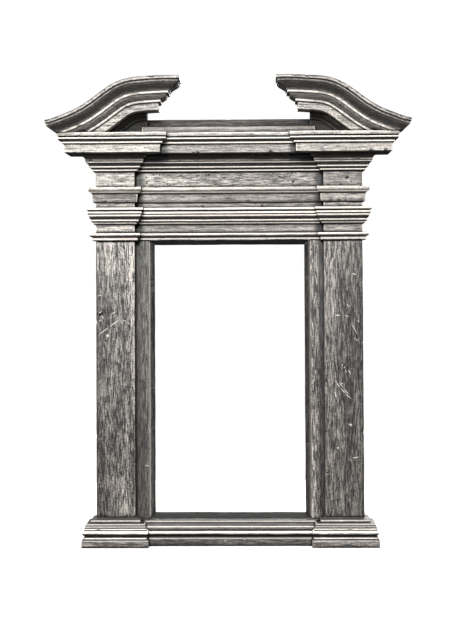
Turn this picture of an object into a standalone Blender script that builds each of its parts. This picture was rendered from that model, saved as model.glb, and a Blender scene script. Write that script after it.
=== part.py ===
import math

import bmesh
import bpy
import numpy as np
from mathutils import Vector

# Units and the shared frame
# Metres, +Z up, the front faces -Y, the underside lies on z = 0 and the back is one flat plane.
MM = 0.001
GAP = 0.3
OVER = 5.0
COPE = 0.6

# Overall build
FRAME_THICK = 22.0
PILASTER_THICK = 20.0
RAKE_FACE = 86.0
DEPTH = FRAME_THICK + PILASTER_THICK + RAKE_FACE
BACK_Y = DEPTH / 2.0
FACE_Y = BACK_Y - FRAME_THICK - PILASTER_THICK
RECESS = PILASTER_THICK
RAIL_THICK = 10.0

# Heights of the stages of the front, from the floor up
BASE_HEIGHT = 53.7
SHAFT_HEIGHT = 523.8
ASTRAGAL_HEIGHT = 15.2
CAPITAL_HEIGHT = 47.8
ARCHITRAVE_HEIGHT = 39.3
FRIEZE_HEIGHT = 29.0
CORNICE_HEIGHT = 70.4
SHAFT_TOP = BASE_HEIGHT + SHAFT_HEIGHT
ASTRAGAL_TOP = SHAFT_TOP + ASTRAGAL_HEIGHT
CAPITAL_TOP = ASTRAGAL_TOP + CAPITAL_HEIGHT
ARCHITRAVE_TOP = CAPITAL_TOP + ARCHITRAVE_HEIGHT
FRIEZE_TOP = ARCHITRAVE_TOP + FRIEZE_HEIGHT
CORNICE_TOP = FRIEZE_TOP + CORNICE_HEIGHT

# How far each stage stands out from the pilaster face
BASE_FACE = 26.2
ASTRAGAL_FACE = 11.7
CAPITAL_FACE = 17.0
ARCHITRAVE_FACE = 13.1
CORNICE_FACE = 65.0

# Pilasters and the sight opening
PILASTER_IN = 179.9
PILASTER_OUT = 253.4
SIGHT_OUT_X = 154.2
SIGHT_BEVEL_SIDE = 10.4
SIGHT_BEVEL_LOW = 9.1
SIGHT_BEVEL_HIGH = 9.9
SIGHT_BEVEL_DEPTH = 14.0
SIGHT_LIP = 3.0
SIGHT_UNDER_BASE = 5.5
SIGHT_OVER_SHAFT = 2.0
SIGHT_IN_X = SIGHT_OUT_X - SIGHT_BEVEL_SIDE
SIGHT_OUT_LOW = BASE_HEIGHT - SIGHT_UNDER_BASE
SIGHT_IN_LOW = SIGHT_OUT_LOW + SIGHT_BEVEL_LOW
SIGHT_OUT_HIGH = SHAFT_TOP + SIGHT_OVER_SHAFT
SIGHT_IN_HIGH = SIGHT_OUT_HIGH - SIGHT_BEVEL_HIGH

# Swan-neck pediment
RAKE_RISE = 103.1
RAKE_TIP_RISE = 21.0
RAKE_TIP_X = 338.9
RAKE_IN_X = 90.0
RAKE_STRETCH = 1.22
RAKE_TIP_STRETCH = 1.1
RAKE_DEPTH = 60.0
RAKE_STATIONS = 30
TYMPANUM_IN = 155.0
TYMPANUM_OUT = 300.0
TYMPANUM_DROP = 4.0
RAKE_BED_DEPTH = 12.0
RAKE_BED_FACE = 20.0
ATTIC_HALF = 164.0
ATTIC_HEIGHT = 13.8
ATTIC_FACE = 15.0
ATTIC_CHAMFER = 4.0
BACK_BOARD_HALF = 252.0
BACK_BOARD_HEIGHT = 30.8

# Top contour of the right raking cornice from its inner end to its tip, as drawn:
# distance across, then height over the tip
CONTOUR_DRAWN = (
    (87.0, 82.1),
    (106.0, 81.8),
    (127.0, 81.3),
    (149.0, 80.3),
    (162.0, 79.4),
    (176.0, 78.0),
    (184.5, 76.4),
    (198.0, 72.7),
    (211.0, 67.2),
    (221.0, 61.7),
    (229.5, 56.2),
    (237.0, 50.7),
    (243.7, 45.3),
    (250.0, 39.8),
    (258.7, 33.8),
    (269.0, 28.0),
    (277.0, 23.2),
    (287.0, 17.6),
    (303.0, 11.4),
    (317.0, 6.3),
    (338.9, 0.0),
)
CONTOUR_DEGREE = 8
CONTOUR = [
    (
        x * RAKE_TIP_X / CONTOUR_DRAWN[-1][0],
        CORNICE_TOP
        + RAKE_TIP_RISE
        + z * (RAKE_RISE - RAKE_TIP_RISE) / CONTOUR_DRAWN[0][1],
    )
    for x, z in CONTOUR_DRAWN
]


def arc(middle_e, middle_z, radius, from_deg, to_deg, steps):
    """Points of a round profile: angle 0 faces forwards and 90 faces up."""
    angles = np.linspace(math.radians(from_deg), math.radians(to_deg), steps + 1)
    return [
        (middle_e + radius * math.cos(a), middle_z + radius * math.sin(a))
        for a in angles
    ]


def hollow(start, end, steps, first):
    """A quarter-round hollow between two points; `first` is the direction it leaves in."""
    (e0, z0), (e1, z1) = start, end
    found = []
    for angle in np.linspace(0.0, math.pi / 2.0, steps + 1):
        fast, slow = math.sin(angle), 1.0 - math.cos(angle)
        across, along = (fast, slow) if first == "e" else (slow, fast)
        found.append((e0 + (e1 - e0) * across, z0 + (z1 - z0) * along))
    return found


def fitted(drawn, face, foot, height):
    """A profile as drawn, made to stand out as far as `face` and to fill a stage from its foot."""
    widest_drawn = max(e for e, _ in drawn)
    across = face / widest_drawn if widest_drawn else 1.0
    up = height / drawn[-1][1]
    return [(e * across, foot + z * up) for e, z in drawn]


# Profiles as drawn, in millimetres: projection, then height over the stage's own foot
PLINTH = [
    (26.2, 0.0),
    *arc(23.8, 13.1, 2.4, 0, 72, 3),
    (22.8, 15.9),
]
BASE_MOULDING = [
    (20.4, 19.2),
    (20.4, 21.4),
    *arc(20.9, 26.7, 4.7, -78, 78, 7),
    (20.9, 32.3),
    (22.3, 32.7),
    (22.3, 35.2),
    (20.8, 35.8),
    *hollow((20.8, 36.2), (16.4, 44.2), 4, "z"),
    (10.2, 45.1),
    (10.2, 49.8),
]
BASE_FLARE = [(9.0, 50.0), (5.4, 51.2), (2.4, 52.3), (0.0, 53.7)]
CENTRE_DROP = 3.0
ASTRAGAL_DRAWN = [
    (6.2, 0.0),
    (6.2, 6.8),
    (7.4, 7.1),
    *arc(7.9, 11.0, 3.8, -80, 80, 6),
    (7.4, 15.2),
]
CAPITAL_DRAWN = [
    (0.0, 0.0),
    (0.0, 15.9),
    (4.3, 16.1),
    (4.3, 20.3),
    (8.2, 20.7),
    (8.2, 24.6),
    *hollow((7.0, 25.1), (12.2, 32.9), 4, "e"),
    (14.3, 35.6),
    (14.3, 40.3),
    (12.6, 40.7),
    (12.6, 42.5),
    (17.0, 42.9),
    (17.0, 47.8),
]
ARCHITRAVE_DRAWN = [
    (0.0, 0.0),
    (0.0, 9.9),
    (5.2, 10.2),
    (6.8, 27.9),
    (9.6, 28.5),
    (12.4, 30.9),
    (13.1, 33.1),
    (13.1, 39.3),
]
CORNICE_DRAWN = [
    (4.0, 0.0),
    (6.6, 1.9),
    (6.6, 4.6),
    *hollow((7.2, 4.8), (10.6, 7.8), 3, "z"),
    (11.5, 8.0),
    (11.5, 10.5),
    *hollow((12.1, 10.7), (16.6, 16.6), 4, "z"),
    (17.7, 16.8),
    (17.7, 19.0),
    *hollow((18.2, 19.4), (22.6, 28.2), 4, "z"),
    (24.0, 28.5),
    (24.0, 32.9),
    (52.5, 33.2),
    (52.5, 48.5),
    (54.9, 50.0),
    (56.8, 50.4),
    (56.8, 53.2),
    *hollow((57.6, 53.6), (62.9, 57.6), 3, "e"),
    (63.5, 58.0),
    (63.5, 60.8),
    (60.4, 61.1),
    (60.4, 63.0),
    (64.5, 63.3),
    (64.5, 69.7),
    (63.8, 70.4),
]
BASE_DRAWN = [*PLINTH, (22.8, 18.5), *BASE_MOULDING, *BASE_FLARE]
CENTRE_BASE_DRAWN = [*PLINTH, *((e, z - CENTRE_DROP) for e, z in BASE_MOULDING)]
BASE = fitted(BASE_DRAWN, BASE_FACE, 0.0, BASE_HEIGHT)
CENTRE_BASE = fitted(
    CENTRE_BASE_DRAWN,
    BASE_FACE,
    0.0,
    BASE_HEIGHT * CENTRE_BASE_DRAWN[-1][1] / BASE_DRAWN[-1][1],
)
ASTRAGAL = fitted(ASTRAGAL_DRAWN, ASTRAGAL_FACE, SHAFT_TOP, ASTRAGAL_HEIGHT)
CAPITAL = fitted(CAPITAL_DRAWN, CAPITAL_FACE, ASTRAGAL_TOP, CAPITAL_HEIGHT)
ARCHITRAVE = fitted(ARCHITRAVE_DRAWN, ARCHITRAVE_FACE, CAPITAL_TOP, ARCHITRAVE_HEIGHT)
FRIEZE = [(0.0, ARCHITRAVE_TOP), (0.0, FRIEZE_TOP)]
CORNICE = fitted(CORNICE_DRAWN, CORNICE_FACE, FRIEZE_TOP, CORNICE_HEIGHT)

# The raking profile as drawn: depth below the top contour, then projection
RAKE_DRAWN = [
    (0.0, 85.4),
    (0.7, 86.0),
    (5.4, 86.0),
    (5.7, 83.0),
    (7.4, 83.0),
    (8.4, 84.6),
    (12.2, 83.0),
    (15.0, 80.2),
    (17.6, 76.6),
    (20.4, 73.0),
    (23.6, 70.6),
    (25.9, 70.0),
    (26.0, 69.0),
    (30.8, 69.0),
    (31.0, 65.6),
    (34.0, 65.0),
    (37.2, 62.8),
    (39.6, 59.6),
    (41.1, 57.4),
    (41.4, 56.2),
    (45.7, 56.2),
    (47.4, 52.5),
    (60.0, 52.5),
]
RAKE_BED_DRAWN = [
    (0.0, 20.0),
    (3.1, 20.0),
    (3.5, 16.0),
    (6.1, 13.4),
    (7.9, 9.0),
    (8.3, 6.4),
    (12.0, 6.0),
]


def raked(drawn, face, start, depth):
    """A raking profile as drawn, made to stand out as far as `face` and to be `depth` deep."""
    across = face / max(e for _, e in drawn)
    down = depth / drawn[-1][0]
    return [(start + d * down, e * across) for d, e in drawn]


RAKE = raked(RAKE_DRAWN, RAKE_FACE, 0.0, RAKE_DEPTH)
RAKE_BED = raked(RAKE_BED_DRAWN, RAKE_BED_FACE, RAKE_DEPTH + GAP, RAKE_BED_DEPTH)


def start_clean():
    for old in list(bpy.data.objects):
        bpy.data.objects.remove(old, do_unlink=True)
    for old in list(bpy.data.collections):
        bpy.data.collections.remove(old)


start_clean()
PIECES = bpy.data.collections.new("tabernacle_frame")
CUTTERS = bpy.data.collections.new("cutters")
bpy.context.scene.collection.children.link(PIECES)
bpy.context.scene.collection.children.link(CUTTERS)
CUTTERS.hide_render = True


def finish(bm, name, tone=None):
    """Turns the bmesh into a named object of the frame, or into a cutter where it has no tone."""
    bmesh.ops.recalc_face_normals(bm, faces=bm.faces)
    mesh = bpy.data.meshes.new(name)
    bm.to_mesh(mesh)
    bm.free()
    obj = bpy.data.objects.new(name, mesh)
    if tone is None:
        CUTTERS.objects.link(obj)
        obj.display_type = "WIRE"
        return obj
    PIECES.objects.link(obj)
    material = bpy.data.materials.new(name)
    material.use_nodes = True
    shader = material.node_tree.nodes["Principled BSDF"]
    shader.inputs["Base Color"].default_value = (tone, tone * 0.86, tone * 0.72, 1.0)
    shader.inputs["Roughness"].default_value = 0.5
    mesh.materials.append(material)
    return obj


def place(x, e, z):
    """A point from its distance across, its projection and its height, all in millimetres."""
    return Vector((x * MM, (FACE_Y - e) * MM, z * MM))


def loft(name, sections, tone=None):
    """A solid through matching closed sections, each a list of (x, e, z)."""
    bm = bmesh.new()
    rings = [[bm.verts.new(place(*point)) for point in ring] for ring in sections]
    count = len(rings[0])
    bm.faces.new(rings[0])
    bm.faces.new(rings[-1])
    for low, high in zip(rings, rings[1:]):
        for i in range(count):
            k = (i + 1) % count
            bm.faces.new((low[i], low[k], high[k], high[i]))
    return finish(bm, name, tone)


def cut(target, cutter, operation="DIFFERENCE"):
    modifier = target.modifiers.new(cutter.name, "BOOLEAN")
    modifier.operation = operation
    modifier.solver = "EXACT"
    modifier.object = cutter


def plan(x0, x1, e_back, e_front, z):
    return [(x0, e_back, z), (x1, e_back, z), (x1, e_front, z), (x0, e_front, z)]


def board(name, x0, x1, e_back, e_front, z0, z1, tone=None):
    return loft(
        name,
        [plan(x0, x1, e_back, e_front, z0), plan(x0, x1, e_back, e_front, z1)],
        tone,
    )


def upright(name, outline, e_back, e_front, tone=None):
    """A board cut to an outline of (x, z) points."""
    return loft(
        name,
        [[(x, e, z) for x, z in outline] for e in (e_back, e_front)],
        tone,
    )


def trimmed(profile):
    """The profile with its top lowered by the gap that keeps two pieces apart."""
    *low, (e, z) = profile
    return [*low, (e, z - GAP)]


# What lies behind the applied mouldings
WALL_E = FACE_Y - BACK_Y
FRAME_E = -RECESS
RAIL_E = WALL_E + RAIL_THICK


def ressaut(name, side, profile, tone, behind):
    """A moulding block over one pilaster, returned on both sides. `behind` lists what it is cut round."""
    sections = []
    for e, z in trimmed(profile):
        ends = (side * (PILASTER_IN - e), side * (PILASTER_OUT + e))
        sections.append(plan(min(ends), max(ends), WALL_E, e, z))
    block = loft(name, sections, tone)
    low = profile[0][1] - OVER
    high = profile[-1][1] + OVER
    for word, x0, x1, face in behind:
        ends = (side * x0, side * x1)
        cutter = board(
            f"{name}_{word}", min(ends), max(ends), WALL_E - OVER, face + GAP, low, high
        )
        cut(block, cutter)
    return block


def projection(profile, z):
    """How far the profile stands out at a height; steps give their larger value."""
    found = [0.0]
    for (e0, z0), (e1, z1) in zip(profile, profile[1:]):
        if z0 <= z <= z1:
            share = (z - z0) / (z1 - z0) if z1 > z0 else 1.0
            found.append(e0 + (e1 - e0) * share)
    return max(found)


def widest(profile, z):
    near = [e for e, height in profile if abs(height - z) <= COPE]
    return max([*near, *(projection(profile, z + d) for d in (-COPE, 0.0, COPE))])


def refined(profile, beside):
    """The profile with a point at every height where the one beside it has a corner."""
    points = [profile[0]]
    for (e0, z0), (e1, z1) in zip(profile, profile[1:]):
        for z in sorted({height for _, height in beside if z0 < height < z1}):
            points.append((e0 + (e1 - e0) * (z - z0) / (z1 - z0), z))
        points.append((e1, z1))
    return points


def centre_moulding(name, profile, tone, back=RAIL_E + GAP, beside=None):
    """A moulding set back between the two blocks, coped against their returns."""
    points = trimmed(profile)
    if beside:
        points = refined(points, beside)
    sections = []
    for e, z in points:
        half = PILASTER_IN - (widest(beside, z) if beside else e) - GAP
        sections.append(plan(-half, half, back, e - RECESS, z))
    return loft(name, sections, tone)


INNER_END = PILASTER_IN - CORNICE_FACE - OVER
STILE_CUT = ("stile", SIGHT_OUT_X - OVER, PILASTER_OUT + GAP, FRAME_E)
STILE_UPPER_CUT = ("stile", PILASTER_IN, PILASTER_OUT + GAP, FRAME_E)
RAIL_CUT = ("rail", INNER_END, PILASTER_IN + OVER, RAIL_E)

# Back frame: two stiles, notched above the opening for the thinner top rail
for word, side in (("left", -1), ("right", 1)):
    outline = [
        (SIGHT_OUT_X, 0.0),
        (PILASTER_OUT, 0.0),
        (PILASTER_OUT, CORNICE_TOP - GAP),
        (PILASTER_IN + GAP, CORNICE_TOP - GAP),
        (PILASTER_IN + GAP, SIGHT_OUT_HIGH),
        (SIGHT_OUT_X, SIGHT_OUT_HIGH),
    ]
    upright(f"stile_{word}", [(side * x, z) for x, z in outline], WALL_E, FRAME_E, 0.16)
board(
    "rail_bottom",
    GAP - SIGHT_OUT_X,
    SIGHT_OUT_X - GAP,
    WALL_E,
    FRAME_E,
    0.0,
    SIGHT_OUT_LOW,
    0.16,
)
board(
    "rail_top",
    -PILASTER_IN,
    PILASTER_IN,
    WALL_E,
    RAIL_E,
    SIGHT_OUT_HIGH + GAP,
    CORNICE_TOP - GAP,
    0.16,
)

# Sight edge: four mitred strips whose bevel falls away to the opening
LIP_E = FRAME_E - SIGHT_BEVEL_DEPTH
STRIP_BACK = LIP_E - SIGHT_LIP
SECTION = ((0.0, FRAME_E), (1.0, LIP_E), (1.0, STRIP_BACK), (0.0, STRIP_BACK))
MITRE = GAP / 2.0


def sight_point(across, upwards):
    """A corner point of the sight edge: 0 is the outer line of the bevel and 1 the opening."""
    x = SIGHT_OUT_X - GAP + (SIGHT_IN_X - SIGHT_OUT_X + GAP) * across
    if upwards:
        return x, SIGHT_OUT_HIGH - GAP + (SIGHT_IN_HIGH - SIGHT_OUT_HIGH + GAP) * across
    return x, SIGHT_OUT_LOW + GAP + (SIGHT_IN_LOW - SIGHT_OUT_LOW - GAP) * across


for word, side in (("left", -1), ("right", 1)):
    ends = []
    for upwards in (False, True):
        ring = []
        for across, e in SECTION:
            x, z = sight_point(across, upwards)
            ring.append((side * x, e, z - MITRE if upwards else z + MITRE))
        ends.append(ring)
    loft(f"sight_edge_{word}", ends, 0.13)
for word, upwards in (("bottom", False), ("top", True)):
    ends = []
    for side in (-1, 1):
        ring = []
        for across, e in SECTION:
            x, z = sight_point(across, upwards)
            ring.append((side * (x - MITRE), e, z))
        ends.append(ring)
    loft(f"sight_edge_{word}", ends, 0.13)

# Front stages over each pilaster, from the base to the cornice
for word, side in (("left", -1), ("right", 1)):
    ressaut(f"base_{word}", side, BASE, 0.2, [STILE_CUT])
    shaft = sorted((side * PILASTER_IN, side * PILASTER_OUT))
    board(
        f"pilaster_{word}",
        *shaft,
        FRAME_E + GAP,
        0.0,
        BASE_HEIGHT,
        SHAFT_TOP - GAP,
        0.2,
    )
    ressaut(f"astragal_{word}", side, ASTRAGAL, 0.22, [STILE_CUT])
    for stage, profile in (
        ("capital", CAPITAL),
        ("architrave", ARCHITRAVE),
        ("frieze", FRIEZE),
        ("cornice", CORNICE),
    ):
        ressaut(f"{stage}_{word}", side, profile, 0.22, [STILE_UPPER_CUT, RAIL_CUT])

# The same stages set back between the blocks
SIGHT_SEAT = SIGHT_OUT_HIGH + GAP
CENTRE_ASTRAGAL = [
    (e, max(z, SIGHT_SEAT)) for e, z in ASTRAGAL if z >= SIGHT_SEAT or z == SHAFT_TOP
]
centre_moulding("base_centre", CENTRE_BASE, 0.2, FRAME_E + GAP, BASE)
centre_moulding("astragal_centre", CENTRE_ASTRAGAL, 0.22)
centre_moulding("capital_centre", CAPITAL, 0.22)
centre_moulding("architrave_centre", ARCHITRAVE, 0.22)
centre_moulding("frieze_centre", FRIEZE, 0.22)
centre_moulding("cornice_centre", CORNICE, 0.22)

# Swan-neck contour as one smooth curve through the listed points
SPAN = CONTOUR[-1][0] - CONTOUR[0][0]
FIT = np.polyfit(
    [(x - CONTOUR[0][0]) / SPAN for x, _ in CONTOUR],
    [z for _, z in CONTOUR],
    CONTOUR_DEGREE,
)
FIT_SLOPE = np.polyder(FIT)


def contour(x):
    """Height and slope of the top contour; beyond its ends it runs on straight."""
    u = (x - CONTOUR[0][0]) / SPAN
    held = min(max(u, 0.0), 1.0)
    slope = float(np.polyval(FIT_SLOPE, held)) / SPAN
    return float(np.polyval(FIT, held)) + (u - held) * SPAN * slope, slope


def below(x, depth):
    """The point `depth` under the contour, square to it, at the contour's own x."""
    z, slope = contour(x)
    long = math.hypot(1.0, slope)
    return x + depth * slope / long, z - depth / long


def reach(target, depth):
    """The contour x whose parallel at `depth` passes over `target`."""
    low, high = target - 2.0 * depth - OVER, target + 2.0 * depth + OVER
    for _ in range(50):
        middle = (low + high) / 2.0
        if below(middle, depth)[0] < target:
            low = middle
        else:
            high = middle
    return (low + high) / 2.0


def parallel(depth, x_from, x_to, stations):
    """Points of the parallel at `depth` between two distances across."""
    return [
        below(x, depth)
        for x in np.linspace(reach(x_from, depth), reach(x_to, depth), stations + 1)
    ]


def rake(name, side, profile, ends, e_back, tone):
    """A moulding that follows the contour. `ends` gives both end lines for a projection."""
    rows = []
    for depth, e in profile:
        x_from, x_to = ends(e)
        path = parallel(depth, x_from, x_to, RAKE_STATIONS)
        rows.append([(side * x, e, z) for x, z in path])
    bm = bmesh.new()
    front = [[bm.verts.new(place(*point)) for point in row] for row in rows]
    last = len(rows) - 1
    far = RAKE_STATIONS

    def behind(j, k):
        x, _, z = rows[j][k]
        return bm.verts.new(place(x, e_back, z))

    back_top = [behind(0, k) for k in range(far + 1)]
    back_low = [behind(last, k) for k in range(far + 1)]
    back_in = [back_top[0], *(behind(j, 0) for j in range(1, last)), back_low[0]]
    back_out = [back_top[far], *(behind(j, far) for j in range(1, last)), back_low[far]]
    for j in range(last):
        for k in range(far):
            upper, lower = front[j], front[j + 1]
            bm.faces.new((upper[k], upper[k + 1], lower[k + 1], lower[k]))
    for k in range(far):
        bm.faces.new((front[0][k], back_top[k], back_top[k + 1], front[0][k + 1]))
        bm.faces.new(
            (front[last][k], front[last][k + 1], back_low[k + 1], back_low[k])
        )
    for j in range(last):
        bm.faces.new((front[j][0], front[j + 1][0], back_in[j + 1], back_in[j]))
        bm.faces.new(
            (front[j][far], back_out[j], back_out[j + 1], front[j + 1][far])
        )
    bm.faces.new([*back_top, *back_out[1:-1], *back_low[::-1], *back_in[-2:0:-1]])
    return finish(bm, name, tone)


def rake_ends(e):
    return (
        RAKE_IN_X + (RAKE_FACE - e) * RAKE_STRETCH,
        RAKE_TIP_X - (RAKE_FACE - e) * RAKE_TIP_STRETCH,
    )


def bed_ends(e):
    return TYMPANUM_IN, RAKE_TIP_X - RAKE_FACE - e


SEAT = CORNICE_TOP + GAP
WIDE = RAKE_TIP_X + RAKE_FACE


def seat_cutter(name):
    return board(name, -WIDE, WIDE, -WIDE, WIDE, SEAT - WIDE, SEAT)


for word, side in (("left", -1), ("right", 1)):
    raking = rake(f"raking_cornice_{word}", side, RAKE, rake_ends, GAP, 0.19)
    cut(raking, seat_cutter(f"raking_seat_{word}"))
    bed = rake(f"raking_bed_{word}", side, RAKE_BED, bed_ends, GAP, 0.17)
    cut(bed, seat_cutter(f"bed_seat_{word}"))
    returned = rake(
        f"raking_return_{word}",
        side,
        RAKE,
        lambda e: (TYMPANUM_OUT + GAP, rake_ends(e)[1]),
        WALL_E,
        0.19,
    )
    cut(returned, seat_cutter(f"return_seat_{word}"))
    cut(
        returned,
        board(f"return_front_{word}", -WIDE, WIDE, 0.0, WIDE, SEAT - WIDE, SEAT + WIDE),
    )
    top = parallel(TYMPANUM_DROP, TYMPANUM_IN, TYMPANUM_OUT, RAKE_STATIONS)
    outline = [(TYMPANUM_IN, SEAT), *top, (TYMPANUM_OUT, SEAT)]
    upright(
        f"tympanum_{word}",
        [(side * x, z) for x, z in outline],
        FRAME_E,
        0.0,
        0.17,
    )

# Low attic strip between the two halves of the pediment, and the board behind them
WING = [
    (-ATTIC_HALF, GAP),
    (GAP - TYMPANUM_IN, GAP),
    (GAP - TYMPANUM_IN, FRAME_E),
    (TYMPANUM_IN - GAP, FRAME_E),
    (TYMPANUM_IN - GAP, GAP),
    (ATTIC_HALF, GAP),
]
ATTIC = [
    [*((x, e, z) for x, e in WING), (ATTIC_HALF, face, z), (-ATTIC_HALF, face, z)]
    for z, face in (
        (SEAT, ATTIC_FACE),
        (CORNICE_TOP + ATTIC_HEIGHT - ATTIC_CHAMFER, ATTIC_FACE),
        (CORNICE_TOP + ATTIC_HEIGHT, ATTIC_FACE - ATTIC_CHAMFER),
    )
]
loft("attic_strip", ATTIC, 0.2)
board(
    "back_board",
    -BACK_BOARD_HALF,
    BACK_BOARD_HALF,
    WALL_E,
    FRAME_E - GAP,
    SEAT,
    CORNICE_TOP + BACK_BOARD_HEIGHT,
    0.15,
)
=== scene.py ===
import math
import random

import bmesh
import bpy
from mathutils import Matrix, Vector, noise


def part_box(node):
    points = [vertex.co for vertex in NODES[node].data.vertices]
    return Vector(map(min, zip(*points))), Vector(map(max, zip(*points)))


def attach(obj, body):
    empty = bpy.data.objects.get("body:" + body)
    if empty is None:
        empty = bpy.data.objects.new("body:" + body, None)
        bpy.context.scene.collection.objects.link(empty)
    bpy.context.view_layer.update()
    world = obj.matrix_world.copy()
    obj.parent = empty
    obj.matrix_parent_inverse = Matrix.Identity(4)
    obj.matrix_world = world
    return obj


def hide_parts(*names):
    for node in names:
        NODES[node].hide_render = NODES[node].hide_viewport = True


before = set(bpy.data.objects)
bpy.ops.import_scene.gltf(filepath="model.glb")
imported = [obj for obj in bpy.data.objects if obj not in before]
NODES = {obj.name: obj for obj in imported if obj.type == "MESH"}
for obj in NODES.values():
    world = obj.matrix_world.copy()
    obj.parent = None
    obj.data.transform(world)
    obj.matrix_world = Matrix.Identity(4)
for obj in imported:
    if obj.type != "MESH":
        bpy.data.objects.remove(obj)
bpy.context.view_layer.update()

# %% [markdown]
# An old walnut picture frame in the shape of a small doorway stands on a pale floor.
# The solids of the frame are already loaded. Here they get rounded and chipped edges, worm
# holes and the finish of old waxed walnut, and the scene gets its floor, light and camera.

MM = 0.001
FACE_Y = 0.022          # the plane of the pilaster faces
BACK_Y = 0.064          # the flat back
print("solids loaded:", len(NODES))

# %% [markdown]
# The camera stands in front of the frame, a little to the right of its middle, and looks up by
# hardly more than a degree. Its picture is shifted, as a view camera's is, so that the upright
# lines stay nearly upright. The small roll is how the frame hangs in the picture.

# %% Camera
CAMERA_BACK = 2.7       # metres from the pilaster faces
CAMERA_HIGH = 0.5125
SENSOR = 36.0           # millimetres
CAMERA_ASIDE = 0.05
FOCAL_PIXELS = 1421.0
AXIS_ACROSS = 229.2     # the pixel column and row that the lens axis meets
LEVEL_DOWN = 274.55     # the row of what is as high as the lens
LOOK_UP = 1.3
PICTURE_W, PICTURE_H = 461, 624
ROLL = 0.28
AXIS_DOWN = LEVEL_DOWN - FOCAL_PIXELS * math.tan(math.radians(LOOK_UP))
camera_data = bpy.data.cameras.new("camera")
camera = bpy.data.objects.new("camera", camera_data)
bpy.context.scene.collection.objects.link(camera)
camera_data.lens = FOCAL_PIXELS / PICTURE_H * SENSOR
camera_data.shift_x = (PICTURE_W / 2.0 - AXIS_ACROSS) / PICTURE_H
camera_data.shift_y = -(PICTURE_H / 2.0 - AXIS_DOWN) / PICTURE_H
camera.location = (CAMERA_ASIDE, FACE_Y - CAMERA_BACK, CAMERA_HIGH)
camera.rotation_euler = (
    math.radians(90.0 + LOOK_UP),
    math.radians(ROLL),
    math.atan(CAMERA_ASIDE / CAMERA_BACK),
)
bpy.context.scene.camera = camera
print("lens", round(camera_data.lens, 1), "mm")

# %% [markdown]
# The light is soft and comes from above and in front, as under a studio's ceiling light.
# The sky is white to the eye, and dimmer as a lamp, so that hollows stay dark.

# %% Sky
SKY_LOW = 0.02          # strength as a lamp below the horizon, and high above it
SKY_HIGH = 0.45
SKY_SEEN = 1.05         # strength to the eye
scene = bpy.context.scene
scene.view_settings.view_transform = "Standard"
world = bpy.data.worlds.new("white studio")
scene.world = world
world.use_nodes = True
sky = world.node_tree
sky.nodes.clear()
sky_out = sky.nodes.new("ShaderNodeOutputWorld")
seen = sky.nodes.new("ShaderNodeBackground")
seen.inputs["Color"].default_value = (1.0, 1.0, 1.0, 1.0)
seen.inputs["Strength"].default_value = SKY_SEEN
lit = sky.nodes.new("ShaderNodeBackground")
direction = sky.nodes.new("ShaderNodeTexCoord")
height = sky.nodes.new("ShaderNodeSeparateXYZ")
rise = sky.nodes.new("ShaderNodeMapRange")
sky.links.new(direction.outputs["Generated"], height.inputs[0])
sky.links.new(height.outputs["Z"], rise.inputs["Value"])
rise.inputs["From Min"].default_value = -0.15
rise.inputs["From Max"].default_value = 0.8
rise.inputs["To Min"].default_value = SKY_LOW
rise.inputs["To Max"].default_value = SKY_HIGH
sky.links.new(rise.outputs[0], lit.inputs["Strength"])
path = sky.nodes.new("ShaderNodeLightPath")
both = sky.nodes.new("ShaderNodeMixShader")
sky.links.new(path.outputs["Is Camera Ray"], both.inputs["Fac"])
sky.links.new(lit.outputs[0], both.inputs[1])
sky.links.new(seen.outputs[0], both.inputs[2])
sky.links.new(both.outputs[0], sky_out.inputs["Surface"])

# %% [markdown]
# The key lamp sets how long the shadow under the cornice is. A wide lamp overhead and a weak
# one behind keep the top and the back from going black.

# %% Lamps
def lamp(name, place, aim, size, power):
    """A square soft lamp that points at a place."""
    data = bpy.data.lights.new(name, "AREA")
    data.shape = "SQUARE"
    data.size = size
    data.energy = power
    lamp_object = bpy.data.objects.new(name, data)
    scene.collection.objects.link(lamp_object)
    lamp_object.location = place
    turn = (Vector(aim) - Vector(place)).to_track_quat("-Z", "Y")
    lamp_object.rotation_euler = turn.to_euler()


lamp("key", (-0.3, -2.1, 1.4), (0.0, 0.0, 0.55), 0.6, 92.0)
lamp("ceiling", (0.0, -0.2, 3.0), (0.0, 0.0, 0.0), 1.6, 60.0)
lamp("back", (0.3, 2.4, 1.6), (0.0, 0.0, 0.45), 1.4, 75.0)

# %% [markdown]
# The floor is a plain disc. To the eye it is nearly white, and it throws little light back up,
# so that the undersides of the mouldings stay as dark as they are on a wall.

# %% Floor
FLOOR_RADIUS = 0.9
FLOOR_SEEN = 0.95       # how light it is to the eye
FLOOR_GLOW = 0.15       # and to the frame above it
bpy.ops.object.select_all(action="DESELECT")
bpy.ops.mesh.primitive_circle_add(
    vertices=96, radius=FLOOR_RADIUS, fill_type="NGON", location=(0.0, 0.0, 0.0)
)
floor = bpy.context.object
floor.name = "floor"
floor_finish = bpy.data.materials.new("pale floor")
floor_finish.use_nodes = True
ground = floor_finish.node_tree
ground.nodes.clear()
ground_out = ground.nodes.new("ShaderNodeOutputMaterial")
ground_mix = ground.nodes.new("ShaderNodeMixShader")
ground_path = ground.nodes.new("ShaderNodeLightPath")
for index, level in ((1, FLOOR_GLOW), (2, FLOOR_SEEN)):
    layer = ground.nodes.new("ShaderNodeBsdfDiffuse")
    layer.inputs["Color"].default_value = (level, level, level, 1.0)
    ground.links.new(layer.outputs[0], ground_mix.inputs[index])
ground.links.new(ground_path.outputs["Is Camera Ray"], ground_mix.inputs["Fac"])
ground.links.new(ground_mix.outputs[0], ground_out.inputs["Surface"])
floor.data.materials.append(floor_finish)


# %% [markdown]
# A finish is a small sum: how much of the light wood shows at each spot. Writing it as an
# ordinary sum is easier to read than a page of linked nodes, so a value in the node tree is
# wrapped in a small class whose plus, minus and times add the nodes.

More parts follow.
